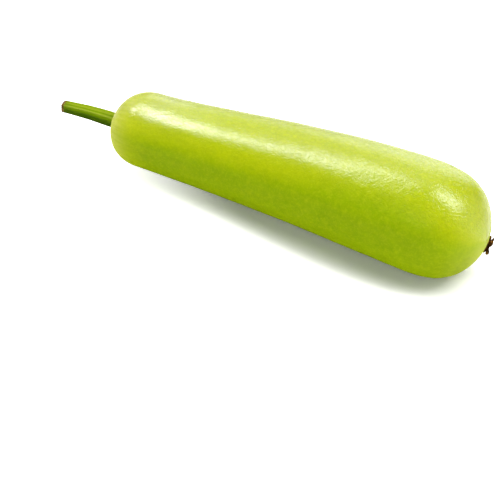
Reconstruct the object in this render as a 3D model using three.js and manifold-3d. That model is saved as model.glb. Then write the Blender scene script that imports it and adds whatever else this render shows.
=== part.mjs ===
// A long bottle gourd as picked: the fruit, the ribbed stem it hung by and the withered scraps of its flower.
// Millimetres, +Z up. The gourd lies on its belly along X, with the stem end at -X and the blossom end at +X.
// The origin is on the surface it rests on, under the middle of its box.

import * as THREE from 'three';
import { mergeVertices } from 'three/addons/utils/BufferGeometryUtils.js';
import Module from 'manifold-3d';

const wasm = await Module();
wasm.setup();

// ---------------------------------------------------------------- driving dimensions

const GAP = 0.3; // room left where one piece sits in another

const FRUIT = {
  length: 330, // pole to pole, without the stem
  stemRadius: 31.4,
  blossomRadius: 44,
  widenStart: 0.02, // share of the length where the body starts to widen
  widenSpan: 0.84, // share of the length over which it widens
  stemCap: { length: 29, power: 2.25 }, // rounded shoulder round the stem
  blossomCap: { length: 55, power: 2.1 }, // rounder end round the flower scar
  bow: 11, // sideways bend at mid length
  sag: 3, // how far the underside lifts towards each end
  sagCentre: 0.1, // where the underside is lowest, from -1 at the stem to 1 at the blossom end
  shoulderLift: { height: 1.5, reach: 90 },
  tip: { side: 10, drop: 5, reach: 120 }, // where the blossom end turns to
  flat: 0.7, // depth of the flattened belly it lies on
  sides: 48,
  capRings: 11,
  bodyRings: 20,
};

// Very shallow swellings that run along and round the fruit.
const SWELLS = [
  { height: 0.3, round: 3, along: 1.5, phase: 0.6 },
  { height: 0.22, round: 5, along: 4, phase: 2.1 },
  { height: 0.16, round: 2, along: 9, phase: 4.0 },
];

const STEM = {
  length: 51.7, // from the fruit to the cut
  drop: 1.5, // how far below the pole it stands
  neckRadius: 6, // just above the collar
  cutRadius: 4.25,
  collarRadius: 9.3, // corky ring where it joins the fruit
  collarSink: 1.5,
  collarRise: 0.9,
  collarRagged: 0.45, // how far the ring's edge wanders
  flare: 1.5, // height over which the neck eases into the collar
  rootRadius: 5,
  rootDepth: 6, // how far it is sunk into the fruit
  leave: { yaw: -7.6, pitch: 5.5 }, // direction at the fruit, degrees from -X towards +Y and +Z
  reach: { yaw: -7, pitch: 0.9 }, // direction from the fruit to the cut
  ribs: 5,
  ribHeight: 0.11, // share of the radius
  ribPhase: 1.9,
  ribTwist: 0.25, // turn of the ribs from end to end, radians
  dish: 0.8, // depth of the dried cut face
  sides: 40,
  rings: 16,
};

const SCAR = {
  back: 2.5, // how far behind the blossom end's tip
  turn: -55, // where round the tip, degrees from +Y towards +Z
  padRadius: 4.2,
  padHeight: 1.3,
  rootDepth: 1.6,
  sides: 14,
};

// Withered scraps of the flower. Each leans one way from the scar's centre, turn degrees from level, and
// runs through its points: how far it has leaned, and its height above the scar.
const SCRAPS = [
  { turn: 50, points: [[0.6, 0.6], [3.0, 1.0], [5.6, 0.7], [8.2, 0.2]], width: 1.9, thick: 0.8 },
  { turn: 46, points: [[0.3, 0.4], [1.7, 1.5], [3.1, 2.1], [4.4, 2.4]], width: 3.6, thick: 2.2 },
  { turn: 42, points: [[1.4, 1.0], [3.4, 2.2], [5.4, 2.5], [7.4, 2.4]], width: 1.5, thick: 0.8 },
  { turn: 226, points: [[0.3, 0.5], [2.5, 2.3], [4.2, 3.5], [5.7, 4.4]], width: 2.1, thick: 1.2 },
  { turn: 238, points: [[0.3, 0.4], [2.7, 1.9], [4.6, 2.6], [6.2, 3.0]], width: 2.0, thick: 1.1 },
  { turn: 222, points: [[0.6, 0.6], [2.5, 0.9], [4.5, 0.5], [6.3, 0.1]], width: 1.7, thick: 0.8 },
  { turn: -35, points: [[0.6, 0.6], [2.8, 1.8], [4.9, 2.1], [6.8, 1.4]], width: 2.4, thick: 0.9 },
];
const SCRAP_STEPS = 8;

// ---------------------------------------------------------------- solids from rings

// A closed solid through rings of equally many points, with a point at each end.
function loft(start, rings, end) {
  const sides = rings[0].length;
  const points = [start, ...rings.flat(), end];
  const last = points.length - 1;
  const at = (ring, side) => 1 + ring * sides + (side % sides);
  const index = [];
  for (let side = 0; side < sides; side++) {
    index.push(0, at(0, side + 1), at(0, side));
    index.push(last, at(rings.length - 1, side), at(rings.length - 1, side + 1));
    for (let ring = 0; ring + 1 < rings.length; ring++) {
      const [a, b] = [at(ring, side), at(ring, side + 1)];
      const [c, d] = [at(ring + 1, side + 1), at(ring + 1, side)];
      index.push(a, b, c, a, c, d);
    }
  }
  const geometry = new THREE.BufferGeometry().setFromPoints(points);
  geometry.setIndex(index);
  return solid(geometry);
}

// A manifold-3d solid from a closed geometry, with its faces turned outwards.
function solid(geometry) {
  const bare = geometry.clone();
  bare.deleteAttribute('normal');
  bare.deleteAttribute('uv');
  const merged = mergeVertices(bare, 1e-4);
  const vertProperties = new Float32Array(merged.attributes.position.array);
  const triVerts = new Uint32Array(merged.index.array);
  if (signedVolume(vertProperties, triVerts) < 0) {
    for (let t = 0; t < triVerts.length; t += 3) {
      [triVerts[t + 1], triVerts[t + 2]] = [triVerts[t + 2], triVerts[t + 1]];
    }
  }
  return new wasm.Manifold(new wasm.Mesh({ numProp: 3, vertProperties, triVerts }));
}

function signedVolume(positions, triangles) {
  const corner = (i) => new THREE.Vector3().fromArray(positions, 3 * i);
  let sum = 0;
  for (let t = 0; t < triangles.length; t += 3) {
    const [a, b, c] = [corner(triangles[t]), corner(triangles[t + 1]), corner(triangles[t + 2])];
    sum += a.dot(b.cross(c)) / 6;
  }
  return sum;
}

function toGeometry(manifold) {
  const mesh = manifold.getMesh();
  const geometry = new THREE.BufferGeometry();
  geometry.setAttribute('position', new THREE.BufferAttribute(mesh.vertProperties, 3));
  geometry.setIndex(new THREE.BufferAttribute(mesh.triVerts, 1));
  geometry.computeVertexNormals();
  return geometry;
}

// Points of a ring round a centre, in the plane of two unit vectors. radiusAt gives the radius at each angle.
function ring(centre, across, up, sides, radiusAt) {
  return Array.from({ length: sides }, (_, i) => {
    const angle = (2 * Math.PI * i) / sides;
    const radius = radiusAt(angle);
    return centre
      .clone()
      .addScaledVector(across, radius * Math.cos(angle))
      .addScaledVector(up, radius * Math.sin(angle));
  });
}

// Two unit vectors square to a direction that isn't vertical: one level, one as upright as it can be.
function frameAcross(direction) {
  const across = new THREE.Vector3(0, 0, 1).cross(direction).normalize();
  const up = direction.clone().cross(across).normalize();
  return { across, up };
}

// ---------------------------------------------------------------- the fruit's surface

const smoothstep = (t) => THREE.MathUtils.smoothstep(t, 0, 1);

// Share of the full radius at a distance from a rounded end.
function capShare(distance, cap) {
  const t = Math.min(distance / cap.length, 1);
  return (1 - (1 - t) ** cap.power) ** (1 / cap.power);
}

function bodyRadius(x) {
  const { length, stemRadius, blossomRadius, widenStart, widenSpan } = FRUIT;
  return stemRadius + (blossomRadius - stemRadius) * smoothstep((x / length - widenStart) / widenSpan);
}

function centreAt(x) {
  const { length, bow, sag, sagCentre, shoulderLift, tip } = FRUIT;
  const u = (2 * x) / length - 1;
  const nearStem = Math.max(1 - x / shoulderLift.reach, 0) ** 2;
  const nearTip = Math.max(1 - (length - x) / tip.reach, 0) ** 2;
  const y = bow * (1 - u * u) + tip.side * nearTip;
  const z = bodyRadius(x) + sag * (u - sagCentre) ** 2 + shoulderLift.height * nearStem - tip.drop * nearTip;
  return new THREE.Vector3(x, y, z);
}

function fruitRadius(x, angle) {
  const ends = capShare(x, FRUIT.stemCap) * capShare(FRUIT.length - x, FRUIT.blossomCap);
  const swell = SWELLS.reduce(
    (sum, s) => sum + s.height * Math.cos(s.round * angle + s.phase + (s.along * x) / 100),
    0,
  );
  return (bodyRadius(x) + swell) * ends;
}

// Where the rings stand: evenly by angle round each end, evenly by length between them.
function fruitStations() {
  const { length, stemCap, blossomCap, capRings, bodyRings } = FRUIT;
  const stations = [];
  for (let i = 1; i <= capRings; i++) {
    stations.push(stemCap.length * (1 - Math.cos((i / capRings) * (Math.PI / 2))));
  }
  const span = length - stemCap.length - blossomCap.length;
  for (let i = 1; i < bodyRings; i++) {
    stations.push(stemCap.length + (span * i) / bodyRings);
  }
  for (let i = capRings; i >= 1; i--) {
    stations.push(length - blossomCap.length * (1 - Math.cos((i / capRings) * (Math.PI / 2))));
  }
  return stations;
}

function fruitBody() {
  const [across, up] = [new THREE.Vector3(0, 1, 0), new THREE.Vector3(0, 0, 1)];
  const rings = fruitStations().map((x) =>
    ring(centreAt(x), across, up, FRUIT.sides, (angle) => fruitRadius(x, angle)),
  );
  return loft(centreAt(0), rings, centreAt(FRUIT.length));
}

function surfacePoint(x, angle) {
  const radius = fruitRadius(x, angle);
  return centreAt(x).add(new THREE.Vector3(0, radius * Math.cos(angle), radius * Math.sin(angle)));
}

function surfaceNormal(x, angle) {
  const step = 1e-3;
  const alongX = surfacePoint(x + step, angle).sub(surfacePoint(x - step, angle));
  const round = surfacePoint(x, angle + step).sub(surfacePoint(x, angle - step));
  return round.cross(alongX).normalize();
}

// Everything below the belly that the fruit lies on.
function ground() {
  const depth = 20;
  const box = new THREE.BoxGeometry(2 * FRUIT.length, FRUIT.length, depth);
  box.translate(FRUIT.length / 2, 0, FRUIT.flat - depth / 2);
  return solid(box);
}

// ---------------------------------------------------------------- the stem

// A unit vector off -X, turned towards +Y by yaw and towards +Z by pitch, in degrees.
function awayFromFruit({ yaw, pitch }) {
  const [a, b] = [THREE.MathUtils.degToRad(yaw), THREE.MathUtils.degToRad(pitch)];
  return new THREE.Vector3(-Math.cos(a) * Math.cos(b), Math.sin(a) * Math.cos(b), Math.sin(b));
}

const stemFoot = () => centreAt(0).sub(new THREE.Vector3(0, 0, STEM.drop));

function stemCurve() {
  const foot = stemFoot();
  const middle = foot.clone().addScaledVector(awayFromFruit(STEM.leave), STEM.length / 2);
  const cut = foot.clone().addScaledVector(awayFromFruit(STEM.reach), STEM.length);
  return new THREE.QuadraticBezierCurve3(foot, middle, cut);
}

// Radius without ribs, at a height above the fruit: the neck eases into the collar, then tapers to the cut.
function stemRadius(height) {
  const { length, neckRadius, cutRadius, collarRadius, flare } = STEM;
  const taper = THREE.MathUtils.lerp(neckRadius, cutRadius, height / length);
  return taper + (collarRadius - neckRadius) * Math.exp(-height / flare);
}

// The stem with its root. grow makes the larger copy that cuts its seat in the fruit.
function stemSolid(grow = 0) {
  const { length, rootRadius, rootDepth, collarRadius, collarSink, collarRise, collarRagged } = STEM;
  const { ribs, ribHeight, ribPhase, ribTwist, sides, dish } = STEM;
  const curve = stemCurve();
  const sink = awayFromFruit(STEM.leave).negate();

  const place = (height) => {
    if (height > 0) {
      const t = height / length;
      return { centre: curve.getPointAt(t), direction: curve.getTangentAt(t) };
    }
    return { centre: stemFoot().addScaledVector(sink, -height), direction: sink.clone().negate() };
  };
  const section = (height, radius, ribbed, ragged) => {
    const { centre, direction } = place(height);
    const { across, up } = frameAcross(direction);
    const turn = ribPhase + (ribTwist * height) / length;
    return ring(centre, across, up, sides, (angle) => {
      const crest = Math.cos(ribs * angle + turn) + 0.25 * Math.cos(2 * (ribs * angle + turn));
      const edge = Math.sin(3 * angle) + 0.6 * Math.sin(7 * angle + 1);
      return radius * (1 + ribbed * ribHeight * crest) + ragged * collarRagged * edge + grow;
    });
  };

  const rings = [
    section(-rootDepth - grow, rootRadius, 0, 0),
    section(-rootDepth / 2, rootRadius * 1.25, 0, 0),
    section(-collarSink, collarRadius * 0.93, 0, 0.6),
    section(0, collarRadius, 0, 1),
    section(collarRise, collarRadius * 0.97, 0, 1),
    section(collarRise * 1.5, collarRadius * 0.82, 0.2, 0.5),
  ];
  const [ribsStart, ribsEnd] = [collarRise * 2.3, length - 0.6];
  const ribbedBy = 9; // height by which the ribs stand fully out
  for (let i = 0; i <= STEM.rings; i++) {
    const height = THREE.MathUtils.lerp(ribsStart, ribsEnd, i / STEM.rings);
    rings.push(section(height, stemRadius(height), smoothstep(height / ribbedBy), 0));
  }
  rings.push(section(length, stemRadius(length) * 0.93, 0.9, 0));
  rings.push(section(length - dish / 2, stemRadius(length) * 0.6, 0.5, 0));
  return loft(place(-rootDepth - grow).centre, rings, place(length - dish).centre);
}

// ---------------------------------------------------------------- the flower's remains

// The scar's centre on the fruit, with unit vectors straight out of it, level along it and up along it.
function scarFrame() {
  const [x, angle] = [FRUIT.length - SCAR.back, THREE.MathUtils.degToRad(SCAR.turn)];
  const out = surfaceNormal(x, angle);
  const level = new THREE.Vector3(0, 0, 1).cross(out).normalize();
  return { centre: surfacePoint(x, angle), out, level, up: out.clone().cross(level) };
}

// A small uneven pad on a root sunk into the fruit. grow as for the stem.
function scarPad(grow = 0) {
  const { padRadius, padHeight, rootDepth, sides } = SCAR;
  const { centre, out, level, up } = scarFrame();
  const at = (height) => centre.clone().addScaledVector(out, height);
  const section = (height, share) =>
    ring(at(height), level, up, sides, (angle) => {
      const uneven = 1 + 0.08 * Math.sin(2 * angle) + 0.07 * Math.sin(5 * angle + 2);
      return padRadius * share * uneven + grow;
    });
  const rings = [
    section(-rootDepth - grow, 0.6),
    section(-0.4, 0.9),
    section(0.3, 1),
    section(padHeight * 0.8, 0.85),
    section(padHeight, 0.5),
  ];
  return loft(at(-rootDepth - grow), rings, at(padHeight));
}

// A tapering strip of lens-shaped section along a curve through its points.
function scrapSolid({ turn, points, width, thick }) {
  const { centre, out, level, up } = scarFrame();
  const angle = THREE.MathUtils.degToRad(turn);
  const lean = level.multiplyScalar(Math.cos(angle)).addScaledVector(up, Math.sin(angle));
  const curve = new THREE.CatmullRomCurve3(
    points.map(([leaned, height]) => centre.clone().addScaledVector(lean, leaned).addScaledVector(out, height)),
  );
  const across = out.clone().cross(lean);
  const sides = 6;
  const rings = [];
  for (let i = 0; i <= SCRAP_STEPS; i++) {
    const t = i / SCRAP_STEPS;
    const face = across.clone().cross(curve.getTangentAt(t)).normalize();
    const taper = 0.35 + 0.65 * Math.sin(Math.PI * (0.2 + 0.75 * t));
    const middle = curve.getPointAt(t);
    rings.push(
      Array.from({ length: sides }, (_, k) => {
        const around = (2 * Math.PI * k) / sides;
        return middle
          .clone()
          .addScaledVector(across, (width / 2) * taper * Math.cos(around))
          .addScaledVector(face, (thick / 2) * Math.sin(around));
      }),
    );
  }
  return loft(curve.getPointAt(0), rings, curve.getPointAt(1));
}

// ---------------------------------------------------------------- assembly

function build() {
  const fruit = fruitBody()
    .subtract(ground())
    .subtract(stemSolid(GAP))
    .subtract(scarPad(GAP));
  const stem = stemSolid();
  const remnant = SCRAPS.map(scrapSolid).reduce((sum, scrap) => sum.add(scrap), scarPad());

  const piece = (name, manifold, material) => {
    const mesh = new THREE.Mesh(toGeometry(manifold), new THREE.MeshStandardMaterial(material));
    mesh.name = name;
    return mesh;
  };
  const gourd = new THREE.Group();
  gourd.add(piece('fruit', fruit, { color: '#b5c92e', roughness: 0.36, metalness: 0 }));
  gourd.add(piece('stem', stem, { color: '#5d8418', roughness: 0.55, metalness: 0 }));
  gourd.add(piece('blossom_remnant', remnant, { color: '#38210f', roughness: 0.8, metalness: 0 }));

  const box = new THREE.Box3().setFromObject(gourd);
  const middle = box.getCenter(new THREE.Vector3());
  gourd.position.set(-middle.x, -middle.y, -FRUIT.flat);
  return gourd;
}

const group = new THREE.Group();
group.add(build());

export default group;
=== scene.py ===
"""A long bottle gourd lying on a white studio floor, under soft boxes.

Shapes are worked out in millimetres in the gourd's own coordinates: the stem's pole is at x = 0, the
blossom's pole at x = LENGTH, and the belly's lowest point at z = 0. PLACE moves them to the frame's metres.
"""

import math

import bpy
import numpy as np
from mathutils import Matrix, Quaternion, Vector, noise


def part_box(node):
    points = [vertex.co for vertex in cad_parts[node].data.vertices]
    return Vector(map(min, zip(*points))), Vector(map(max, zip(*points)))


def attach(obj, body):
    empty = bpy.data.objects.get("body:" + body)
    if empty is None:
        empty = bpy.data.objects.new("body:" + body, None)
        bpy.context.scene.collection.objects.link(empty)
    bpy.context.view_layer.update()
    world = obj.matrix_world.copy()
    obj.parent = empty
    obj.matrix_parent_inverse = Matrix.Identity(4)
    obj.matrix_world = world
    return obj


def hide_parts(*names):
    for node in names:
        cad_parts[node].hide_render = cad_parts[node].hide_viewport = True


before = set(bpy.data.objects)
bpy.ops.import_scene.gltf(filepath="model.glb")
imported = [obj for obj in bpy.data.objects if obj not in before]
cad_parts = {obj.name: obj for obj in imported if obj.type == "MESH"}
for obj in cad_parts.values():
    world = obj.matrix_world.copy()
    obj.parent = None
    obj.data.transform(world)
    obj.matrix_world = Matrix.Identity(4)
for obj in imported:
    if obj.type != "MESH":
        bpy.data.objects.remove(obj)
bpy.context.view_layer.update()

MM = 0.001

# ---------------------------------------------------------------- dimensions, in millimetres

LENGTH = 330.0
STEM_RADIUS = 31.4
BLOSSOM_RADIUS = 44.0
# The body widens from one radius to the other: where along its length that starts, and over how much of it.
WIDEN_START = 0.02
WIDEN_SPAN = 0.84
# The round ends: how long each is, and the power of its curve, 2 being an ellipse.
STEM_CAP = (29.0, 2.25)
BLOSSOM_CAP = (55.0, 2.1)
# The middle line bows to the back and sags, most at SAG_CENTRE, in half lengths from the fruit's middle.
BOW = 11.0
SAG = 3.0
SAG_CENTRE = 0.1
# It lifts by a height within a reach of the stem, and turns back and down within TIP_REACH of the tip.
SHOULDER_LIFT = (1.5, 90.0)
TIP_SIDE = 10.0
TIP_DROP = 5.0
TIP_REACH = 120.0
# The underside is cut level this far up, so that the gourd rests on it.
FLAT = 0.7
# Swells of the CAD solid: height, how many round the fruit, radians they turn in 100 mm of it, and phase.
SWELLS = ((0.3, 3, 1.5, 0.6), (0.22, 5, 4.0, 2.1), (0.16, 2, 9.0, 4.0))

# Relief of the skin: height, length of its waves along the fruit and across it, and where its noise starts.
SKIN_RELIEF = (
    (0.16, 44.0, 30.0, 3.0),
    (0.13, 15.0, 11.0, 17.0),
    (0.07, 4.6, 3.6, 31.0),
)
# The skin dips round the stem's foot and round the flower's scar: depth and reach.
STEM_DIP = (0.7, 12.5)
SCAR_DIP = (0.45, 7.0)
# Radial pleats round the stem: height, how far out they are deepest, and over what width they fade.
PLEATS = (0.16, 12.0, 7.0)
# Past its middle the fruit is flatter on the upper front: the height of the wave round it that flattens it,
# its turn in degrees, and where it starts and ends along the fruit, fading over FACET_FADE.
FACET = (0.32, 92.0, 140.0, 285.0)
FACET_FADE = 45.0
# The skin lies a little inside the solid's even form, and stands fuller in places: height, then where round
# the fruit and how wide in degrees. The second set is only at the blossom's end.
SUNK = 0.28
FULLER = ((1.10, 52.0, 23.0), (0.45, 235.0, 30.0), (-0.18, 95.0, 18.0))
FULLER_AT_TIP = ((1.9, 32.0, 34.0), (1.5, 232.0, 30.0))
# The first set is lower near the stem: its share there, where it starts to grow, and over what length.
FULLER_GROWS = (0.4, 30.0, 50.0)
# The second set: where it starts, over what length it grows, and over what length it ends at the tip.
FULLER_TIP_SPAN = (280.0, 28.0, 16.0)
# All of the skin is moved this far to the back, which centres it in the solid's box.
SET_BACK = 0.215
# The points that close the skin lie this far inside the ends of the middle line, at the stem and the tip.
POLE_INSET = (0.9, 0.3)
# How far the tip is from the flower's scar.
TIP_FROM_SCAR = 5.0

STEM_LENGTH = 51.5
# The stem's foot lies this far below the fruit's middle line.
STEM_DROP = 1.5
NECK_RADIUS = 6.4
CUT_RADIUS = 4.9
COLLAR_RADIUS = 9.3
# The height in which the collar's width falls to about a third.
FLARE = 1.5
# Which way the stem leaves the fruit, and where its cut lies from its foot: degrees to the back, and up.
STEM_LEAVE = (-7.6, 5.5)
STEM_REACH = (-7.0, 0.9)
# The ribs' wave: how many ribs, its phase at the foot and its twist up to the cut, in radians.
RIBS = 5
RIB_PHASE = 1.9
RIB_TWIST = 0.25
# In shares of the stem's radius: the ribs' wave, its third overtone, and the ridges and grooves upon it.
RIB_HEIGHT = 0.060
RIB_OVERTONE = 0.012
LINE_HEIGHT = 0.045
# The ribs are fully formed this far up. How sharp ridges and grooves are, and how far round the wave a
# groove lies from its ridge, in radians.
RIBBED_FROM = 9.0
RIDGE_SHARP = 9.0
GROOVE_SHARP = 5.0
GROOVE_TURN = 1.6
# At the cut the stem shrinks as it dries: by what share, and within what reach.
CUT_SHRINK = (0.05, 1.1)
# The corky collar runs from inside the fruit to a low step, and the cut face sinks to the pith's floor.
COLLAR_LOW = -2.5
COLLAR_TOP = 1.1
PITH_DEPTH = 1.4
# Rings of the cut face, from its rounded rim to its pith: the share of the stem's radius, and the depth.
CUT_RINGS = ((0.97, 0.0), (0.9, -0.08), (0.78, 0.18), (0.62, 0.3), (0.45, 0.35), (0.3, 0.9), (0.12, 1.3))

# The flower's scar: how far before the blossom's pole, and where round the fruit in degrees.
SCAR_BACK = 2.5
SCAR_TURN = -55.0
PAD_RADIUS = 4.2
# Rings of the pad on the scar: height, and the share of its radius.
PAD_RINGS = (
    (-1.2, 0.8), (-0.5, 0.93), (0.1, 1.0), (0.5, 0.98), (0.9, 0.88),
    (1.15, 0.7), (1.3, 0.5), (1.2, 0.3), (1.0, 0.15),
)
# The pad's middle sinks to this height.
PAD_MIDDLE = 0.9

# How finely each mesh is divided round its middle line.
SKIN_SIDES = 190
STEM_SIDES = 144
SCRAP_SIDES = 20
PAD_SIDES = 72
# And along it: the skin's stem end, body and blossom end, the stem's collar and ribbed length, and a scrap.
SKIN_RINGS = (61, 260, 91)
COLLAR_RINGS = 12
RIBBED_RINGS = 110
SCRAP_STEPS = 26

# Withered scraps of the flower: which way each leans, degrees from level, the points it runs through (how
# far it has leaned, and its height above the scar), its width and thickness, and how its edges curl.
SCRAPS = (
    (50.0, ((0.6, 0.6), (3.0, 0.9), (5.6, 0.5), (8.2, -0.3)), 2.6, 2.0, 0.4),
    (46.0, ((0.3, 0.4), (1.7, 1.5), (3.1, 2.0), (4.8, 2.1)), 4.6, 4.1, 0.2),
    (38.0, ((1.4, 1.0), (3.4, 2.1), (5.4, 2.5), (7.6, 2.8)), 2.4, 2.1, 0.4),
    (226.0, ((0.3, 0.5), (2.5, 2.1), (4.2, 2.9), (5.7, 3.5)), 2.9, 2.3, 0.4),
    (238.0, ((0.3, 0.4), (2.7, 1.9), (4.6, 2.5), (6.2, 2.8)), 2.8, 2.2, -0.3),
    (-75.0, ((0.5, 0.6), (3.6, 0.9), (6.6, 0.9), (9.4, 0.7)), 2.0, 1.7, 0.3),
    (-35.0, ((0.6, 0.6), (2.8, 1.8), (4.9, 2.1), (6.8, 1.4)), 3.0, 1.6, -0.5),
)

# ---------------------------------------------------------------- the studio's numbers

# What the camera and the lights are turned to, in the gourd's millimetres.
SUBJECT = (LENGTH / 2.0, 0.0, 40.0)
# The photograph's view: degrees down, degrees round from square to the gourd, and metres away. The gourd
# lies off the picture's middle, so the camera aims this many metres left of it and below it.
VIEW_DOWN = 37.5
VIEW_ROUND = 29.5
VIEW_DISTANCE = 1.3
AIM_LEFT = 0.030537
AIM_BELOW = 0.055834
SENSOR = 36.0
# Focal length in widths of the picture.
FOCAL = 1646.5 / 500.0

# Lights: name, direction from the gourd, distance, size and power in metres and watts, degrees turned about
# that direction, and whether the gourd's gloss mirrors it.
SOFT_BOXES = (
    ("soft_box_left", (-0.465, 0.062, 0.83), 1.3, (0.39, 0.84), 8.2, 47.0, True),
    ("strip_left", (-0.548, -0.161, 0.84), 1.3, (0.47, 0.13), 2.2, 1.0, True),
    ("soft_box_right", (0.497, 0.172, 0.82), 1.3, (0.57, 0.83), 15.7, -13.0, True),
    ("front_fill", (0.1, -0.85, 0.5), 2.0, (1.6, 1.2), 17.0, 0.0, False),
)
# The room: its base brightness, then glows: direction, cosines where they start and are full, strength.
ROOM_BASE = 0.09
ROOM_GLOWS = (
    ((-0.52, 0.46, 0.72), 0.68, 1.0, 1.5),
    ((-0.18, 0.94, 0.31), 0.90, 0.96, 2.4),
    ((0.92, 0.31, 0.22), 0.655, 0.98, 1.0),
)
# To the camera the paper is washed white outside an oval round the gourd: its middle's x and half axes.
CLEAR_X = 0.075
CLEAR_LONG = 0.25
CLEAR_SHORT = 0.085
FLOOR_HALF = 15.0

# ---------------------------------------------------------------- the fruit's surface


def smoothstep(t):
    t = np.clip(t, 0.0, 1.0)
    return t * t * (3.0 - 2.0 * t)


def cap_share(distance, cap):
    length, power = cap
    t = np.clip(distance / length, 0.0, 1.0)
    return (1.0 - (1.0 - t) ** power) ** (1.0 / power)


def body_radius(x):
    widened = smoothstep((x / LENGTH - WIDEN_START) / WIDEN_SPAN)
    return STEM_RADIUS + (BLOSSOM_RADIUS - STEM_RADIUS) * widened


def centre_line(x):
    x = np.asarray(x, float)
    u = 2.0 * x / LENGTH - 1.0
    lift, reach = SHOULDER_LIFT
    near_stem = np.clip(1.0 - x / reach, 0.0, None) ** 2
    near_tip = np.clip(1.0 - (LENGTH - x) / TIP_REACH, 0.0, None) ** 2
    y = BOW * (1.0 - u * u) + TIP_SIDE * near_tip
    z = body_radius(x) + SAG * (u - SAG_CENTRE) ** 2 + lift * near_stem - TIP_DROP * near_tip
    return np.stack([x, y, z], -1)


def fruit_radius(x, angle, swollen=0.0):
    """The radius at x and angle. The CAD solid is fully swollen, by 1, and the skin here lies even."""
    ends = cap_share(x, STEM_CAP) * cap_share(LENGTH - x, BLOSSOM_CAP)
    swell = sum(h * np.cos(k * angle + phase + along * x / 100.0) for h, k, along, phase in SWELLS)
    return (body_radius(x) + swollen * swell) * ends


def fruit_point(x, angle, sink=0.0):
    radius = fruit_radius(x, angle) - sink
    offset = np.stack([np.zeros_like(radius), radius * np.cos(angle), radius * np.sin(angle)], -1)
    return centre_line(x) + offset


def fruit_normal(x, angle):
    step = 1e-3
    along = fruit_point(x + step, angle) - fruit_point(x - step, angle)
    around = fruit_point(x, angle + step) - fruit_point(x, angle - step)
    normal = np.cross(around, along)
    return normal / np.linalg.norm(normal)


def frame_place():
    """Where the gourd's own origin stands in the frame, in metres, read off the fruit's box."""
    low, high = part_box("fruit")
    x = np.linspace(0.0, LENGTH, 600)
    centre_y = centre_line(x)[:, 1]
    left = (centre_y - fruit_radius(x, np.pi, 1.0)).min()
    right = (centre_y + fruit_radius(x, 0.0, 1.0)).max()
    return np.array([
        high.x - LENGTH * MM,
        (low.y + high.y) / 2.0 - (left + right) / 2.0 * MM,
        -FLAT * MM,
    ])


PLACE = frame_place()


def to_frame(points):
    return np.asarray(points, float) * MM + PLACE


# ---------------------------------------------------------------- meshes


def tube(name, start, rings, end, material, attributes=()):
    """A closed mesh through rings of equally many points, with a point at each end, all in millimetres.

    attributes are (name, value at start, values on the rings, value at end).
    """
    count, sides = rings.shape[:2]
    points = np.concatenate([[start], rings.reshape(-1, 3), [end]])
    side = np.arange(sides)
    after = (side + 1) % sides
    ring = np.arange(count - 1)[:, None] * sides + 1
    corners = [ring + side, ring + after, ring + sides + after, ring + sides + side]
    quads = np.stack(corners, -1).reshape(-1, 4)
    last = len(points) - 1
    tail = 1 + (count - 1) * sides
    first_fan = [(0, int(b) + 1, int(a) + 1) for a, b in zip(side, after)]
    last_fan = [(last, tail + int(a), tail + int(b)) for a, b in zip(side, after)]
    mesh = bpy.data.meshes.new(name)
    mesh.from_pydata(to_frame(points).tolist(), [], first_fan + quads[:, ::-1].tolist() + last_fan)
    mesh.update()
    mesh.shade_smooth()
    for label, at_start, on_rings, at_end in attributes:
        values = np.concatenate([[at_start], np.asarray(on_rings).reshape(-1), [at_end]])
        mesh.attributes.new(label, "FLOAT", "POINT").data.foreach_set("value", values.astype(np.float32))
    mesh.materials.append(material)
    piece = bpy.data.objects.new(name, mesh)
    bpy.context.scene.collection.objects.link(piece)
    return piece


def wander(points, waves, start):
    """Smooth noise from -1 to 1 at each point, with waves of the given lengths in millimetres."""
    flat = points.reshape(-1, 3) / np.asarray(waves, float) + start
    return np.array([noise.noise(Vector(p)) for p in flat]).reshape(points.shape[:-1])


# ---------------------------------------------------------------- the pieces


def fruit_stations():
    """Where the rings stand: close together round the ends, evenly along the body."""
    stem_length, blossom_length = STEM_CAP[0], BLOSSOM_CAP[0]
    at_stem, along_body, at_blossom = SKIN_RINGS
    quarter = math.pi / 2.0
    stem_end = stem_length * (1.0 - np.cos(np.linspace(0.0, quarter, at_stem)[1:]))
    blossom_end = LENGTH - blossom_length * (1.0 - np.cos(np.linspace(quarter, 0.0, at_blossom)[:-1]))
    body = np.linspace(stem_length, LENGTH - blossom_length, along_body)[1:-1]
    return np.concatenate([stem_end, body, blossom_end])


def stem_foot():
    return centre_line(0.0) - np.array([0.0, 0.0, STEM_DROP])


def scar_frame():
    """The scar's centre, with unit vectors straight out of the fruit, level along it and up along it."""
    x, angle = LENGTH - SCAR_BACK, math.radians(SCAR_TURN)
    out = fruit_normal(np.float64(x), np.float64(angle))
    level = np.cross([0.0, 0.0, 1.0], out)
    level /= np.linalg.norm(level)
    return fruit_point(np.float64(x), np.float64(angle)), out, level, np.cross(out, level)


def bumps_round(angle, bumps):
    """The height at an angle of bumps round the fruit, given as height, centre and width in degrees."""
    total = 0.0
    for height, centre, width in bumps:
        off = (np.degrees(angle) - centre + 180.0) % 360.0 - 180.0
        total = total + height * np.exp(-((off / width) ** 2))
    return total


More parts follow.
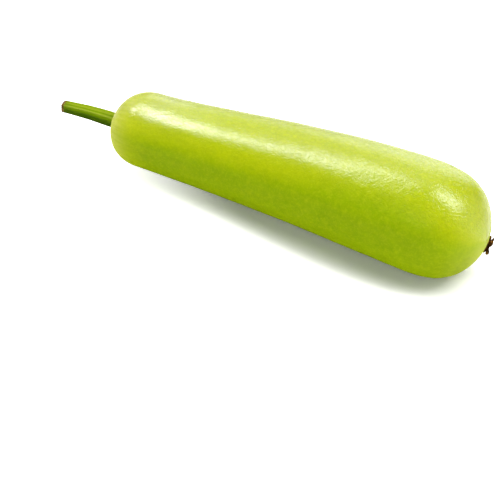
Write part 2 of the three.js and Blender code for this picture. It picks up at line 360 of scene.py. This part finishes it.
def skin_relief(x, angle, smooth, from_stem, from_scar):
    """How far the skin stands out of the smooth form. x and angle are a column and a row."""
    relief = sum(
        height * wander(smooth, (along, across, across), start)
        for height, along, across, start in SKIN_RELIEF
    )
    # It draws in round the stem's collar in shallow radial pleats, and dips round the flower's scar.
    depth, reach = STEM_DIP
    relief = relief - depth * np.exp(-((from_stem / reach) ** 4))
    height, middle, fade = PLEATS
    pleats = np.cos(10.0 * angle + 1.0) + 0.5 * np.cos(17.0 * angle)
    relief = relief + height * pleats * np.exp(-(((from_stem - middle) / fade) ** 2))
    depth, reach = SCAR_DIP
    relief = relief - depth * np.exp(-((from_scar / reach) ** 2))
    # Past its middle the fruit is a little flatter on the upper front.
    height, turn, first, last = FACET
    window = smoothstep((x - first) / FACET_FADE) * smoothstep((last - x) / FACET_FADE)
    relief = relief + height * window * np.cos(4.0 * (angle - math.radians(turn)))
    # Seen from the end it is a little fuller at the upper back and lower front, less so near the stem.
    least, first, rise = FULLER_GROWS
    grown = least + (1.0 - least) * smoothstep((x - first) / rise)
    relief = relief - SUNK + bumps_round(angle, FULLER) * grown
    first, rise, fall = FULLER_TIP_SPAN
    near_tip = smoothstep((x - first) / rise) * smoothstep((LENGTH - x) / fall)
    return relief + near_tip * bumps_round(angle, FULLER_AT_TIP)


def make_fruit(material):
    x = fruit_stations()[:, None]
    angle = np.linspace(0.0, 2.0 * math.pi, SKIN_SIDES, endpoint=False)[None, :]
    smooth = fruit_point(*np.broadcast_arrays(x, angle))
    from_stem = np.linalg.norm(smooth - stem_foot(), axis=-1)
    from_scar = np.linalg.norm(smooth - scar_frame()[0], axis=-1)
    relief = skin_relief(x, angle, smooth, from_stem, from_scar)

    rings = fruit_point(*np.broadcast_arrays(x, angle), sink=-relief)
    rings[..., 1] += SET_BACK
    rings[..., 2] = np.maximum(rings[..., 2], FLAT)
    start = centre_line(0.0) + [POLE_INSET[0], 0.0, 0.0]
    end = centre_line(LENGTH) - [POLE_INSET[1], 0.0, 0.0]
    along, cosine, sine = (
        np.broadcast_to(values, from_stem.shape) for values in (x / LENGTH, np.cos(angle), np.sin(angle))
    )
    piece = tube("gourd_skin", start, rings, end, material, [
        ("along", 0.0, along, 1.0),
        ("round_cos", 0.0, cosine, 0.0),
        ("round_sin", 0.0, sine, 0.0),
        ("from_stem", 0.0, from_stem, LENGTH),
        ("from_scar", LENGTH, from_scar, TIP_FROM_SCAR),
    ])
    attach(piece, "root")
    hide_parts("fruit")
    return piece


def away_from_fruit(turn):
    yaw, pitch = (math.radians(a) for a in turn)
    return np.array([-math.cos(yaw) * math.cos(pitch), math.sin(yaw) * math.cos(pitch), math.sin(pitch)])


def stem_axis(height):
    """A point of the stem's bent axis and its direction, at a height above the fruit, or below it."""
    foot = stem_foot()
    leave = away_from_fruit(STEM_LEAVE)
    if height <= 0.0:
        return foot + leave * height, leave
    middle = foot + leave * STEM_LENGTH / 2.0
    cut = foot + away_from_fruit(STEM_REACH) * STEM_LENGTH
    t = height / STEM_LENGTH
    point = (1.0 - t) ** 2 * foot + 2.0 * t * (1.0 - t) * middle + t * t * cut
    direction = (1.0 - t) * (middle - foot) + t * (cut - middle)
    return point, direction / np.linalg.norm(direction)


def stem_ring(height, radii, angle):
    point, direction = stem_axis(height)
    across = np.cross([0.0, 0.0, 1.0], direction)
    across /= np.linalg.norm(across)
    up = np.cross(direction, across)
    return point + (radii * np.cos(angle))[:, None] * across + (radii * np.sin(angle))[:, None] * up


def peak(turn, sharpness):
    """1 where turn is 0, and less to each side of that."""
    return np.exp((np.cos(turn) - 1.0) * sharpness)


def stem_lines(turn, angle):
    """How much of a ridge and of a groove there is at an angle round the stem.

    turn is where that is on the ribs' wave. The stem's top has a second set of both between its ribs.
    """
    top = smoothstep(np.sin(angle) * 1.6)
    ridge = peak(turn, RIDGE_SHARP) + 0.55 * top * peak(turn - math.pi, RIDGE_SHARP)
    groove = top * peak(turn - GROOVE_TURN, GROOVE_SHARP) + 0.3 * peak(turn + GROOVE_TURN, GROOVE_SHARP)
    return ridge, groove


def rib_turn(height, angle):
    return RIBS * angle + RIB_PHASE + RIB_TWIST * height / STEM_LENGTH


def stem_radii(height, angle):
    """The stem's radius round it at a height: collar, neck, ribs and the shrunken end."""
    taper = NECK_RADIUS + (CUT_RADIUS - NECK_RADIUS) * height / STEM_LENGTH
    neck = taper + (COLLAR_RADIUS - NECK_RADIUS) * math.exp(-max(height, 0.0) / FLARE)
    ribbed = float(smoothstep(height / RIBBED_FROM))
    turn = rib_turn(height, angle)
    lobes = RIB_HEIGHT * np.cos(turn) + RIB_OVERTONE * np.cos(3.0 * turn + 0.7)
    ridge, groove = stem_lines(turn, angle)
    share, reach = CUT_SHRINK
    shrink = 1.0 - share * math.exp(-(STEM_LENGTH - height) / reach)
    return neck * (1.0 + ribbed * (lobes + LINE_HEIGHT * ridge - LINE_HEIGHT * groove)) * shrink


def make_stem(material):
    angle = np.linspace(0.0, 2.0 * math.pi, STEM_SIDES, endpoint=False)
    circle = np.stack([np.cos(angle), np.sin(angle)], -1)
    rings, heights = [], []

    def add(height, radii):
        rings.append(stem_ring(height, radii, angle))
        heights.append(height)

    def spots(size, level):
        """Points for noise: a circle of a size, at a level."""
        return np.column_stack([circle * size, np.full(STEM_SIDES, level)])

    # The corky collar: a ragged, crumbled ring.
    for height in np.linspace(COLLAR_LOW, COLLAR_TOP, COLLAR_RINGS):
        share = (height - COLLAR_LOW) / (COLLAR_TOP - COLLAR_LOW)
        bulge = COLLAR_RADIUS * (0.93 + 0.07 * math.sin(math.pi * min(share * 0.8 + 0.1, 1.0)))
        here = spots(4.0, height * 1.3)
        crumbs = 0.5 * wander(here, (1.0, 1.0, 1.0), 5.0) + 0.25 * wander(here, (0.35, 0.35, 0.5), 9.0)
        add(height, bulge - 0.35 + crumbs * 0.75)
    # Its top edge turns in to the neck.
    edge = stem_radii(0.0, angle)
    for share in (0.25, 0.5, 0.75, 1.0):
        height = COLLAR_TOP + 0.5 * share
        inner = stem_radii(height, angle)
        crumbs = 0.35 * (1.0 - share) * wander(spots(3.0, share), (0.6, 0.6, 0.6), 2.0)
        add(height, (edge * 0.97 * (1.0 - share) + inner * share) + crumbs)
    # The ribbed length.
    for height in np.linspace(COLLAR_TOP + 0.9, STEM_LENGTH - 0.2, RIBBED_RINGS):
        here = spots(5.0, height / 14.0)
        fibres = 0.09 * wander(here, (0.7, 0.7, 1.0), 11.0) + 0.05 * wander(here, (0.3, 0.3, 0.8), 23.0)
        waver = 0.10 * wander(spots(1.0, height / 9.0), (1.0, 1.0, 1.0), 7.0)
        near_cut = math.exp(-(STEM_LENGTH - height) / 2.0)
        shrivel = 0.28 * near_cut * wander(spots(5.0, height), (0.9, 0.9, 1.5), 3.0)
        add(height, stem_radii(height, angle) + fibres + waver + shrivel)
    # The dried cut: a rounded rim, a rough face and a sunken pith.
    rim = stem_radii(STEM_LENGTH, angle)
    for share, depth in CUT_RINGS:
        rough = 1.0 + 0.06 * wander(spots(share * 4.0, depth), (0.5, 0.5, 0.5), 13.0)
        add(STEM_LENGTH - max(depth, 0.0), rim * share * rough)

    start, _ = stem_axis(COLLAR_LOW)
    end, _ = stem_axis(STEM_LENGTH - PITH_DEPTH)
    grid_heights = np.repeat(np.array(heights)[:, None], STEM_SIDES, 1)
    # 0 on the fruit's side of the cut, 1 on the cut face, where the height alone doesn't tell them apart.
    on_cut = np.zeros_like(grid_heights)
    on_cut[-len(CUT_RINGS):] = 1.0
    ridge, groove = stem_lines(rib_turn(grid_heights, angle[None, :]), angle[None, :])
    piece = tube("gourd_stem", start, np.array(rings), end, material, [
        ("height", COLLAR_LOW, grid_heights, STEM_LENGTH),
        ("on_cut", 0.0, on_cut, 1.0),
        ("ridge", 0.0, ridge, 0.0),
        ("groove", 0.0, groove, 0.0),
        ("upward", 0.0, np.broadcast_to(np.sin(angle), grid_heights.shape), 0.0),
    ])
    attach(piece, "root")
    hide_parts("stem")
    return piece


def spline(points, t):
    """A smooth curve through four points, at t from 0 to 1, and its direction."""
    points = np.asarray(points, float)
    padded = np.vstack([2 * points[0] - points[1], points, 2 * points[-1] - points[-2]])
    spans = len(points) - 1
    index = min(int(t * spans), spans - 1)
    u = t * spans - index
    a, b, c, d = padded[index:index + 4]
    square, cube = 2 * a - 5 * b + 4 * c - d, 3 * b - a - 3 * c + d
    value = 0.5 * (2 * b + (c - a) * u + square * u**2 + cube * u**3)
    slope = 0.5 * ((c - a) + 2 * square * u + 3 * cube * u**2)
    return value, slope / np.linalg.norm(slope)


def make_scrap(number, scrap, material):
    lean_turn, path, width, thick, curl = scrap
    centre, out, level, up = scar_frame()
    angle = math.radians(lean_turn)
    lean = level * math.cos(angle) + up * math.sin(angle)
    across = np.cross(out, lean)
    points = [centre + lean * leaned + out * height for leaned, height in path]
    around = np.linspace(0.0, 2.0 * math.pi, SCRAP_SIDES, endpoint=False)
    rings, edge = [], []
    for i in range(SCRAP_STEPS + 1):
        t = i / SCRAP_STEPS
        point, along = spline(points, t)
        face = np.cross(across, along)
        face /= np.linalg.norm(face)
        taper = 0.35 + 0.65 * math.sin(math.pi * (0.2 + 0.75 * t))
        ragged = 1.0 + 0.22 * noise.noise(Vector((t * 5.0, number * 3.1, 0.5)))
        half = width / 2.0 * taper * ragged
        offset = half * np.cos(around)
        lift = thick / 2.0 * (0.55 + 0.45 * np.sin(math.pi * (0.15 + 0.7 * t))) * np.sin(around)
        bend = curl * offset**2 / max(half, 0.1)
        rings.append(point + offset[:, None] * across + (lift + bend)[:, None] * face)
        edge.append(np.clip(np.abs(np.cos(around)) ** 3 * 0.2 + t**4, 0.0, 1.0))
    rings = np.array(rings)
    wrinkles = 0.22 * wander(rings, (0.8, 0.8, 0.8), number + 1.0)
    wrinkles += 0.10 * wander(rings, (0.3, 0.3, 0.3), number + 5.0)
    spread = rings - rings.mean(1, keepdims=True)
    reach = np.linalg.norm(spread, axis=-1, keepdims=True)
    rings = rings + spread / np.maximum(reach, 0.05) * wrinkles[..., None] * np.minimum(reach, 0.6)
    start, _ = spline(points, 0.0)
    end, _ = spline(points, 1.0)
    piece = tube(f"flower_scrap_{number}", start, rings, end, material, [
        ("edge", 0.0, np.array(edge), 1.0),
    ])
    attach(piece, "root")
    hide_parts("blossom_remnant")
    return piece


def make_pad(material):
    """The low corky pad on the flower's scar, which the scraps stand on."""
    centre, out, level, up = scar_frame()
    angle = np.linspace(0.0, 2.0 * math.pi, PAD_SIDES, endpoint=False)
    rings = []
    for height, share in PAD_RINGS:
        size = share * 3.0
        spots = np.column_stack([np.cos(angle) * size, np.sin(angle) * size, np.full(PAD_SIDES, height)])
        uneven = 1.0 + 0.08 * np.sin(2 * angle) + 0.07 * np.sin(5 * angle + 2)
        uneven = uneven + 0.12 * wander(spots, (0.5,) * 3, 4.0)
        radii = PAD_RADIUS * share * uneven * 0.93
        lift = height + 0.25 * wander(spots, (0.6,) * 3, 8.0) * (height > 0.3)
        ring = centre + (radii * np.cos(angle))[:, None] * level + (radii * np.sin(angle))[:, None] * up
        rings.append(ring + lift[:, None] * out)
    edge = np.zeros((len(PAD_RINGS), PAD_SIDES))
    edge[:3] = 0.7
    start, end = centre + PAD_RINGS[0][0] * out, centre + PAD_MIDDLE * out
    piece = tube("flower_scar", start, np.array(rings), end, material, [
        ("edge", 0.0, edge, 0.0),
    ])
    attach(piece, "root")
    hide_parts("blossom_remnant")
    return piece


# ---------------------------------------------------------------- materials


class Shader:
    """A material's node tree, built up a node at a time."""

    def __init__(self, name):
        self.material = bpy.data.materials.new(name)
        self.material.use_nodes = True
        self.tree = self.material.node_tree
        self.bsdf = self.tree.nodes["Principled BSDF"]

    def node(self, kind, inputs=None, **settings):
        made = self.tree.nodes.new(kind)
        for key, value in settings.items():
            setattr(made, key, value)
        for key, value in (inputs or {}).items():
            self.put(made.inputs[key], value)
        return made

    def put(self, socket, value):
        if isinstance(value, bpy.types.NodeSocket):
            self.tree.links.new(value, socket)
        else:
            socket.default_value = value

    def attribute(self, name):
        return self.node("ShaderNodeAttribute", attribute_name=name).outputs["Fac"]

    def math(self, operation, a, b=0.0):
        return self.node("ShaderNodeMath", {0: a, 1: b}, operation=operation).outputs[0]

    def span(self, value, low, high, to_low=0.0, to_high=1.0, smooth=True):
        """value mapped from low..high to to_low..to_high, held at both ends."""
        made = self.node("ShaderNodeMapRange", {
            "Value": value, "From Min": low, "From Max": high, "To Min": to_low, "To Max": to_high,
        }, interpolation_type="SMOOTHSTEP" if smooth else "LINEAR")
        return made.outputs["Result"]

    def mix(self, factor, a, b, blend="MIX"):
        made = self.node("ShaderNodeMix", data_type="RGBA", blend_type=blend)
        self.put(made.inputs["Factor"], factor)
        self.put(made.inputs["A"], a)
        self.put(made.inputs["B"], b)
        return made.outputs["Result"]

    def noise(self, vector, scale, detail=2.0, roughness=0.5, distortion=0.0):
        return self.node("ShaderNodeTexNoise", {
            "Vector": vector, "Scale": scale, "Detail": detail, "Roughness": roughness,
            "Distortion": distortion,
        }).outputs["Fac"]

    def place(self):
        return self.node("ShaderNodeTexCoord").outputs["Object"]

    def scaled(self, vector, scale):
        return self.node("ShaderNodeMapping", {"Vector": vector, "Scale": scale}).outputs["Vector"]

    def combine(self, x, y, z):
        return self.node("ShaderNodeCombineXYZ", {"X": x, "Y": y, "Z": z}).outputs["Vector"]

    def bump(self, height, strength, distance, normal=None):
        inputs = {"Height": height, "Strength": strength, "Distance": distance}
        if normal is not None:
            inputs["Normal"] = normal
        return self.node("ShaderNodeBump", inputs).outputs["Normal"]

    def finish(self, **sockets):
        for key, value in sockets.items():
            self.put(self.bsdf.inputs[key.replace("_", " ")], value)
        return self.material


def linear(*srgb):
    """An sRGB colour from 0 to 255, as linear light."""
    shares = [c / 255.0 for c in srgb]
    return tuple(c / 12.92 if c <= 0.04045 else ((c + 0.055) / 1.055) ** 2.4 for c in shares) + (1.0,)


def skin_green(s, along, round_cos, round_sin):
    """The skin's green under painted light and shade: deeper below, yellower shoulders, darker top and
    back.
    """
    # The painted shade below climbs higher along the belly than it does at either end.
    painted_shade_level = s.math("SUBTRACT", round_sin, s.span(along, 0.45, 0.75, 0.0, 0.24))
    painted_shade_level = s.math("ADD", painted_shade_level, s.span(along, 0.85, 0.96, 0.0, 0.30))
    colour = s.mix(s.span(painted_shade_level, 0.22, 0.68), (0.222, 0.330, 0.0004, 1.0), (0.322, 0.388, 0.0006, 1.0))
    # Painted shade: the top is a little darker than the shoulders.
    topmost = s.math("SUBTRACT", round_sin, s.span(along, 0.45, 0.75, 0.0, 0.12))
    painted_top_shade = s.mix(s.span(along, 0.35, 0.60), (0.308, 0.364, 0.0010, 1.0), (0.290, 0.343, 0.0010, 1.0))
    colour = s.mix(s.span(topmost, 0.72, 0.90), colour, painted_top_shade)

    # Painted shade: darker towards the back, on the lower side, and a little on top.
    shade = s.span(round_cos, -0.2, 0.45, 1.0, 0.84)
    shade = s.math("MULTIPLY", shade, s.span(round_sin, -0.5, 0.3, 0.90, 1.0))
    shade = s.math("MULTIPLY", shade, s.span(round_sin, 0.55, 0.95, 1.0, 0.97))
    return s.mix(1.0, colour, s.combine(shade, shade, shade), "MULTIPLY")


def skin_colour(s, place, along, round_cos, round_sin):
    """The green under clouds, streaks, pale ends, freckles and flecks."""
    from_stem, from_scar = s.attribute("from_stem"), s.attribute("from_scar")
    colour = skin_green(s, along, round_cos, round_sin)

    def drawn_out(rounds, lengths):
        """Coordinates whose noise is streaks along the fruit: how many round it and along it."""
        return s.combine(s.math("MULTIPLY", round_cos, rounds), s.math("MULTIPLY", round_sin, rounds),
                         s.math("MULTIPLY", along, lengths))

    # Broad clouds and soft patches over the green.
    clouds = s.noise(place, 34.0, 2.0, 0.5)
    patches = s.noise(s.scaled(place, (0.6, 1.0, 1.0)), 130.0, 3.0, 0.55)
    lift = s.math("ADD", s.span(clouds, 0.30, 0.70, 0.0, 0.4), s.span(patches, 0.30, 0.72, 0.0, 0.6))
    lighter = s.mix(1.0, colour, (1.055, 1.04, 1.0, 1.0), "MULTIPLY")
    darker = s.mix(1.0, colour, (0.925, 0.95, 0.8, 1.0), "MULTIPLY")
    colour = s.mix(lift, darker, lighter)
    # Long faint streaks follow the fruit.
    streaks = s.noise(drawn_out(11.0, 6.0), 1.0, 3.0, 0.6)
    colour = s.mix(s.span(streaks, 0.50, 0.75, 0.0, 0.12), colour, (0.380, 0.430, 0.006, 1.0))

    # Both ends are paler, with streaks that fan out from the stem.
    half_cream, cream = (0.455, 0.490, 0.010, 1.0), (0.560, 0.575, 0.170, 1.0)
    fan = s.span(s.noise(drawn_out(14.0, 5.0), 1.0, 2.0), 0.30, 0.70, 0.60, 0.96)
    colour = s.mix(s.math("MULTIPLY", s.span(from_stem, 18.0, 58.0, 1.0, 0.0), fan), colour, half_cream)
    colour = s.mix(s.math("MULTIPLY", s.span(from_stem, 14.0, 43.0, 1.0, 0.0), fan), colour, cream)
    # Painted shade darkens the top of the shoulder by the stem a little.
    painted_shoulder_shade = s.math("MULTIPLY", s.span(from_stem, 35.0, 80.0, 0.16, 0.0), s.span(round_sin, 0.70, 0.92))
    colour = s.mix(painted_shoulder_shade, colour, (0.0, 0.0, 0.0, 1.0))
    dusted = s.span(clouds, 0.30, 0.70, 0.6, 1.0)
    colour = s.mix(s.math("MULTIPLY", s.span(from_scar, 6.0, 85.0, 0.30, 0.0), dusted), colour, half_cream)
    colour = s.mix(s.math("MULTIPLY", s.span(from_scar, 5.0, 50.0, 0.45, 0.0), dusted), colour, cream)
    # Green smudges at the edge of the scar.
    blots = s.span(s.noise(place, 260.0, 2.0), 0.42, 0.62)
    smudge = s.math("MULTIPLY", s.span(from_scar, 5.0, 10.0, 0.6, 0.0), blots)
    colour = s.mix(smudge, colour, (0.170, 0.245, 0.010, 1.0))

    # Pale freckles, a few millimetres across, and finer flecks among them.
    freckles = s.noise(place, 240.0, 2.0, 0.5, 0.4)
    colour = s.mix(s.span(freckles, 0.50, 0.74, 0.0, 0.20), colour, (0.430, 0.480, 0.008, 1.0))
    flecks = s.noise(place, 700.0, 2.0, 0.6)
    colour = s.mix(s.span(flecks, 0.46, 0.70, 0.0, 0.30), colour, (0.430, 0.480, 0.018, 1.0))
    mottle = s.span(s.noise(place, 380.0, 2.0, 0.6), 0.3, 0.7)
    mottle = s.mix(mottle, (0.94, 0.96, 0.9, 1.0), (1.04, 1.025, 1.1, 1.0))
    return s.mix(1.0, colour, mottle, "MULTIPLY")


def skin_normal(s, place, along, round_cos, round_sin):
    """Shallow creases like fine leather, one set of them winding round the fruit, over pebbling."""
    swirl = s.node("ShaderNodeTexNoise", {"Vector": place, "Scale": 90.0, "Detail": 1.0}).outputs["Color"]
    swirl = s.node("ShaderNodeVectorMath", {0: swirl, "Scale": 0.006}, operation="SCALE").outputs[0]
    bent = s.node("ShaderNodeVectorMath", {0: place, 1: swirl}, operation="ADD").outputs[0]
    netted = s.noise(s.scaled(bent, (0.8, 1.0, 1.0)), 230.0, 2.0, 0.55)
    netted = s.span(s.math("ABSOLUTE", s.math("SUBTRACT", netted, 0.5)), 0.0, 0.08)
    unwound = s.node("ShaderNodeVectorRotate", {
        "Vector": s.combine(s.math("MULTIPLY", along, 0.115), s.math("MULTIPLY", round_cos, 0.04),
                            s.math("MULTIPLY", round_sin, 0.04)),
        "Angle": s.math("MULTIPLY", along, 5.8),
    }, rotation_type="X_AXIS").outputs[0]
    unwound = s.node("ShaderNodeVectorMath", {0: unwound, 1: swirl}, operation="ADD").outputs[0]
    wound = s.noise(unwound, 420.0, 1.0, 0.5)
    pebbles = s.noise(place, 780.0, 1.0, 0.5)
    # The lower side is smoother, and the blossom's end more wrinkled.
    rough = s.span(round_sin, -0.1, 0.75, 0.30, 1.0)
    rough = s.math("MULTIPLY", rough, s.span(along, 0.60, 0.85, 1.0, 1.5))
    normal = s.bump(netted, rough, 0.00004)
    normal = s.bump(wound, rough, 0.00010, normal)
    return s.bump(pebbles, rough, 0.00008, normal)


def skin_wax(s, place, along, round_cos, round_sin):
    """The thin wax that gives the gloss."""
    # It is thickest near the stem and at the back, finely dappled, and worn off the lower side.
    wax = s.span(along, 0.12, 0.33, 0.56, 0.0, smooth=False)
    wax = s.math("MULTIPLY", wax, s.span(along, 0.02, 0.16, 0.1, 1.0))
    wax = s.math("MAXIMUM", s.math("ADD", wax, 0.46), s.span(round_cos, -0.10, 0.55, 0.46, 0.92))
    wax = s.math("MULTIPLY", wax, s.span(round_sin, 0.35, 0.85, 0.08, 1.0))
    return s.math("MULTIPLY", wax, s.span(s.noise(place, 640.0, 1.0, 0.5), 0.34, 0.66, 0.72, 1.28))


def skin_material():
    s = Shader("gourd_skin")
    where = [s.place()] + [s.attribute(name) for name in ("along", "round_cos", "round_sin")]
    normal = skin_normal(s, *where)
    return s.finish(
        Base_Color=skin_colour(s, *where), Roughness=0.5, Normal=normal, Specular_IOR_Level=0.0,
        Subsurface_Weight=0.15, Subsurface_Radius=(0.6, 1.0, 0.15), Subsurface_Scale=0.004,
        Coat_Weight=skin_wax(s, *where), Coat_Roughness=0.24, Coat_IOR=1.8, Coat_Normal=normal,
    )


def stem_material():
    s = Shader("gourd_stem")
    place = s.place()
    height, on_cut = s.attribute("height"), s.attribute("on_cut")
    ridge, groove, upward = s.attribute("ridge"), s.attribute("groove"), s.attribute("upward")
    fibres = s.noise(s.scaled(place, (60.0, 900.0, 900.0)), 1.0, 3.0, 0.6)
    blotches = s.noise(s.scaled(place, (70.0, 260.0, 260.0)), 1.0, 2.0)

    # Yellow-green above and deep green below, as painted light and shade.
    colour = s.mix(s.span(upward, -0.60, 0.20), (0.025, 0.053, 0.0001, 1.0), (0.036, 0.085, 0.0002, 1.0))
    colour = s.mix(s.span(upward, 0.18, 0.68), colour, (0.145, 0.238, 0.0004, 1.0))
    colour = s.mix(s.span(upward, 0.55, 0.90), colour, (0.165, 0.228, 0.0008, 1.0))
    lighter = s.mix(1.0, colour, (1.14, 1.09, 1.0, 1.0), "MULTIPLY")
    colour = s.mix(s.span(blotches, 0.35, 0.68), colour, lighter)
    colour = s.mix(s.span(fibres, 0.45, 0.75, 0.0, 0.12), colour, (0.280, 0.340, 0.0040, 1.0))
    # Painted shade darkens the grooves.
    painted_groove_shade = s.mix(1.0, colour, (0.55, 0.72, 0.3, 1.0), "MULTIPLY")
    colour = s.mix(s.math("MULTIPLY", groove, 0.85), colour, painted_groove_shade)
    # The ridges are paler, partly a painted sheen that is strongest on top.
    ridge_pale_and_sheen = s.math("MULTIPLY", ridge, s.span(upward, -0.3, 0.6, 0.10, 0.70))
    colour = s.mix(ridge_pale_and_sheen, colour, (0.250, 0.310, 0.0320, 1.0))
    # The last stretch before the cut darkens as it dries.
    drying = s.span(height, STEM_LENGTH - 9.0, STEM_LENGTH - 2.0, 0.0, 0.45)
    colour = s.mix(drying, colour, (0.080, 0.105, 0.0030, 1.0))

    # Corky brown at the collar and towards the cut.
    ragged = s.math("MULTIPLY", s.math("SUBTRACT", s.noise(place, 700.0, 3.0), 0.5), 3.0)
    level = s.math("ADD", height, ragged)
    cork = s.mix(s.span(s.noise(place, 900.0, 3.0), 0.35, 0.7), linear(92, 62, 34), linear(176, 146, 100))
    cut = s.mix(s.span(s.noise(place, 800.0, 3.0), 0.35, 0.7), linear(70, 50, 18), linear(146, 120, 66))
    colour = s.mix(s.span(level, 1.2, 2.2, 1.0, 0.0), colour, cork)
    colour = s.mix(s.span(level, STEM_LENGTH - 3.0, STEM_LENGTH - 2.0), colour, cut)
    colour = s.mix(on_cut, colour, cut)

    normal = s.bump(fibres, 0.4, 0.0002)
    normal = s.bump(s.noise(place, 1200.0, 3.0), 0.3, 0.0001, normal)
    roughness = s.span(blotches, 0.3, 0.7, 0.42, 0.58)
    return s.finish(Base_Color=colour, Roughness=roughness, Normal=normal, Specular_IOR_Level=0.02)


def scrap_material():
    s = Shader("dried_flower")
    place = s.place()
    edge = s.attribute("edge")
    fibre = s.noise(place, 900.0, 3.0, 0.6)
    colour = s.mix(s.span(fibre, 0.35, 0.7), linear(10, 5, 1), linear(46, 23, 7))
    golden = s.math("MULTIPLY", edge, s.span(s.noise(place, 500.0, 2.0), 0.42, 0.66, 0.05, 0.9))
    colour = s.mix(golden, colour, linear(150, 104, 44))
    normal = s.bump(fibre, 0.6, 0.0002)
    return s.finish(Base_Color=colour, Roughness=0.9, Normal=normal, Specular_IOR_Level=0.0)


def floor_material():
    """White paper, which the gourd's gloss mirrors as if the studio were dark on the viewer's side."""
    s = Shader("studio_floor")
    place = s.node("ShaderNodeSeparateXYZ", {"Vector": s.place()})
    mirrored = s.node("ShaderNodeLightPath").outputs["Is Glossy Ray"]
    dark, bright, paper = ((grey, grey, grey, 1.0) for grey in (0.02, 0.75, 0.92))
    behind = s.mix(s.span(place.outputs["Y"], -0.01, 0.05), dark, bright)
    colour = s.mix(mirrored, paper, behind)
    # To the camera the paper brightens away from the gourd, which keeps its shadow close in.
    away = s.node("ShaderNodeVectorMath", {0: s.combine(
        s.math("MULTIPLY", s.math("SUBTRACT", place.outputs["X"], CLEAR_X), 1.0 / CLEAR_LONG),
        s.math("MULTIPLY", place.outputs["Y"], 1.0 / CLEAR_SHORT), 0.0,
    )}, operation="LENGTH").outputs["Value"]
    seen = s.node("ShaderNodeLightPath").outputs["Is Camera Ray"]
    glow = s.math("MULTIPLY", seen, s.span(away, 0.40, 0.95, 0.0, 0.9))
    return s.finish(
        Base_Color=colour, Roughness=0.8, Specular_IOR_Level=0.1,
        Emission_Color=(1.0, 1.0, 1.0, 1.0), Emission_Strength=glow,
    )


# ---------------------------------------------------------------- the studio


def make_floor():
    corners = [(x * FLOOR_HALF, y * FLOOR_HALF, 0.0) for x, y in ((-1, -1), (1, -1), (1, 1), (-1, 1))]
    mesh = bpy.data.meshes.new("studio_floor")
    mesh.from_pydata(corners, [], [(0, 1, 2, 3)])
    mesh.materials.append(floor_material())
    floor = bpy.data.objects.new("studio_floor", mesh)
    bpy.context.scene.collection.objects.link(floor)


def soft_box(name, direction, distance, size, power, turn, mirrored, target):
    """A rectangular area light, out along a direction from the target and facing it."""
    light = bpy.data.lights.new(name, "AREA")
    light.shape = "RECTANGLE"
    light.size, light.size_y = size
    light.energy = power
    lamp = bpy.data.objects.new(name, light)
    bpy.context.scene.collection.objects.link(lamp)
    way = Vector(direction).normalized()
    lamp.location = Vector(target) + way * distance
    lamp.rotation_mode = "QUATERNION"
    lamp.rotation_quaternion = way.to_track_quat("Z", "Y") @ Quaternion((0.0, 0.0, 1.0), math.radians(turn))
    lamp.visible_glossy = mirrored


def make_lights():
    for light in SOFT_BOXES:
        soft_box(*light, to_frame(SUBJECT))


def make_world():
    """The room round the gourd: a dim base, with broad smooth glows from some directions."""
    world = bpy.data.worlds.new("studio")
    bpy.context.scene.world = world
    world.use_nodes = True
    nodes, links = world.node_tree.nodes, world.node_tree.links
    background = nodes["Background"]
    background.inputs["Color"].default_value = (1.0, 1.0, 1.0, 1.0)
    coords = nodes.new("ShaderNodeTexCoord")
    total = nodes.new("ShaderNodeValue")
    total.outputs[0].default_value = ROOM_BASE
    total = total.outputs[0]
    for direction, low, high, strength in ROOM_GLOWS:
        facing = nodes.new("ShaderNodeVectorMath")
        facing.operation = "DOT_PRODUCT"
        facing.inputs[1].default_value = Vector(direction).normalized()
        links.new(coords.outputs["Generated"], facing.inputs[0])
        glow = nodes.new("ShaderNodeMapRange")
        glow.interpolation_type = "SMOOTHSTEP"
        glow.inputs["From Min"].default_value = low
        glow.inputs["From Max"].default_value = high
        glow.inputs["To Max"].default_value = strength
        links.new(facing.outputs["Value"], glow.inputs["Value"])
        both = nodes.new("ShaderNodeMath")
        both.operation = "ADD"
        links.new(total, both.inputs[0])
        links.new(glow.outputs["Result"], both.inputs[1])
        total = both.outputs[0]
    links.new(total, background.inputs["Strength"])


def make_camera():
    """The photograph's view."""
    down, turned = math.radians(VIEW_DOWN), math.radians(VIEW_ROUND)
    back = Vector((math.sin(turned) * math.cos(down), -math.cos(turned) * math.cos(down), math.sin(down)))
    right = Vector((math.cos(turned), math.sin(turned), 0.0))
    up = back.cross(right)
    middle = Vector(to_frame(SUBJECT))
    aim = middle - right * AIM_LEFT - up * AIM_BELOW
    data = bpy.data.cameras.new("camera")
    data.sensor_width = SENSOR
    data.lens = SENSOR * FOCAL
    data.clip_start, data.clip_end = 0.05, 60.0
    camera = bpy.data.objects.new("camera", data)
    bpy.context.scene.collection.objects.link(camera)
    camera.location = middle + back * VIEW_DISTANCE
    camera.rotation_mode = "QUATERNION"
    camera.rotation_quaternion = (aim - camera.location).to_track_quat("-Z", "Y")
    bpy.context.scene.camera = camera


# ---------------------------------------------------------------- the scene

make_camera()
make_floor()
make_world()
make_lights()
make_fruit(skin_material())
make_stem(stem_material())
dried = scrap_material()
make_pad(dried)
for number, scrap in enumerate(SCRAPS, 1):
    make_scrap(number, scrap, dried)

bpy.context.scene.view_settings.view_transform = "Standard"
